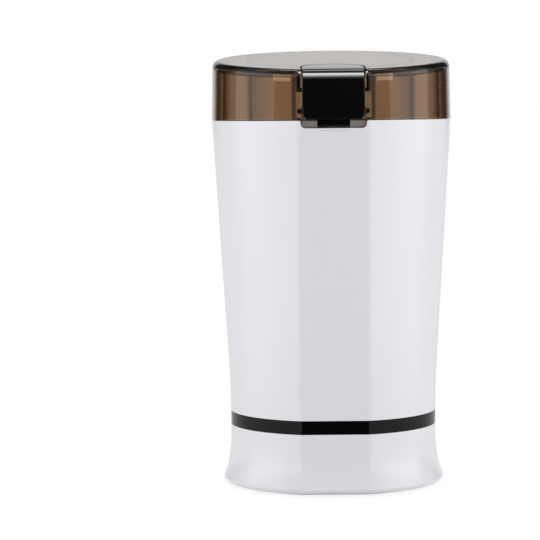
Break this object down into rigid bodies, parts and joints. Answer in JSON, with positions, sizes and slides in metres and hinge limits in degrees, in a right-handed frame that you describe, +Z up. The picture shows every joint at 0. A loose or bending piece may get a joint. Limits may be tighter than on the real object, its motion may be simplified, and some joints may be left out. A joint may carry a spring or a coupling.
{
  "type": "electric spice grinder",
  "caption": "Countertop electric blade grinder for spices: tapered white body, black band, smoky lid with a press button, and a twisted blade in a steel bowl.",
  "frame": {"origin": "centre of the soles of the rubber feet, on the motor axis, at table height", "axes": "+Z up along the motor axis; -Y is the front, where the press button is; +Y is the back, where the cord leaves"},
  "size_m": [0.0952, 0.0934, 0.1739],
  "materials": {
    "white_plastic": "white moulded ABS, glossy",
    "black_trim": "black moulded band, glossy",
    "smoke_plastic": "clear brown-smoke polycarbonate, polished",
    "black_gloss": "black moulded ABS, polished",
    "black_matte": "black moulded plastic, fine texture",
    "motor_plastic": "glass-filled nylon",
    "stainless": "stainless steel, satin",
    "hardware_steel": "zinc-plated steel",
    "bearing_steel": "ground bearing steel",
    "spring_steel": "spring wire",
    "motor_steel": "stacked electrical steel sheets",
    "copper": "copper, enamelled wire and bars",
    "brass": "brass tabs",
    "rubber": "soft black rubber",
    "silicone": "grey silicone",
    "carbon": "pressed carbon"
  },
  "bodies": {
    "housing": {"body_shell": "white_plastic", "trim_ring": "black_trim", "base_shell": "white_plastic", "bottom_cover": "black_matte", "rubber_feet": "rubber", "base_screws": "hardware_steel", "cord_gland": "rubber", "cord_clamp": "black_matte", "clamp_screws": "hardware_steel", "top_deck": "white_plastic", "grinding_bowl": "stainless", "bowl_gasket": "silicone", "shaft_seal": "silicone", "motor_carrier": "black_matte", "carrier_screws": "hardware_steel", "lower_bearing_bracket": "motor_plastic", "lower_bearing": "bearing_steel", "upper_bearing_bracket": "hardware_steel", "upper_bearing": "bearing_steel", "stator_core": "motor_steel", "field_coils": "copper", "bolt_spacers": "motor_plastic", "motor_dampers": "rubber", "motor_bolts": "hardware_steel", "carbon_brushes": "carbon", "brush_caps": "motor_plastic", "brush_springs": "spring_steel", "switch_guide": "black_matte", "microswitch": "motor_plastic", "switch_terminals": "brass", "plunger_spring": "spring_steel"},
    "spindle": {"rotor_shaft": "stainless", "rotor_core": "motor_steel", "rotor_windings": "copper", "commutator": "copper", "cooling_fan": "black_matte", "blade_hub": "black_matte", "grinding_blade": "stainless", "blade_nut": "stainless"},
    "lid": {"lid": "smoke_plastic", "lid_seal": "silicone", "button_guide": "black_matte", "button_springs": "spring_steel"},
    "button": {"press_button": "black_gloss"},
    "plunger": {"switch_plunger": "black_matte"}
  },
  "joints": [
    {"name": "lid_lift", "type": "slide", "parent": "housing", "child": "lid", "axis": [0, 0, 1], "range_m": [0, 0.06]},
    {"name": "button_press", "type": "slide", "parent": "lid", "child": "button", "axis": [0, 0, -1], "range_m": [0, 0.0025], "stiffness_N_per_m": 600, "springref_m": -0.004, "deforming": ["button_springs"]},
    {"name": "plunger_press", "type": "slide", "parent": "housing", "child": "plunger", "axis": [0, 0, -1], "range_m": [0, 0.0025], "deforming": ["plunger_spring"]},
    {"name": "spindle_spin", "type": "hinge", "parent": "housing", "child": "spindle", "pos_m": [0, 0, 0.1], "axis": [0, 0, 1], "continuous": true}
  ],
  "couplings": [
    {"joint": "plunger_press", "follows": "button_press", "ratio": 1}
  ]
}
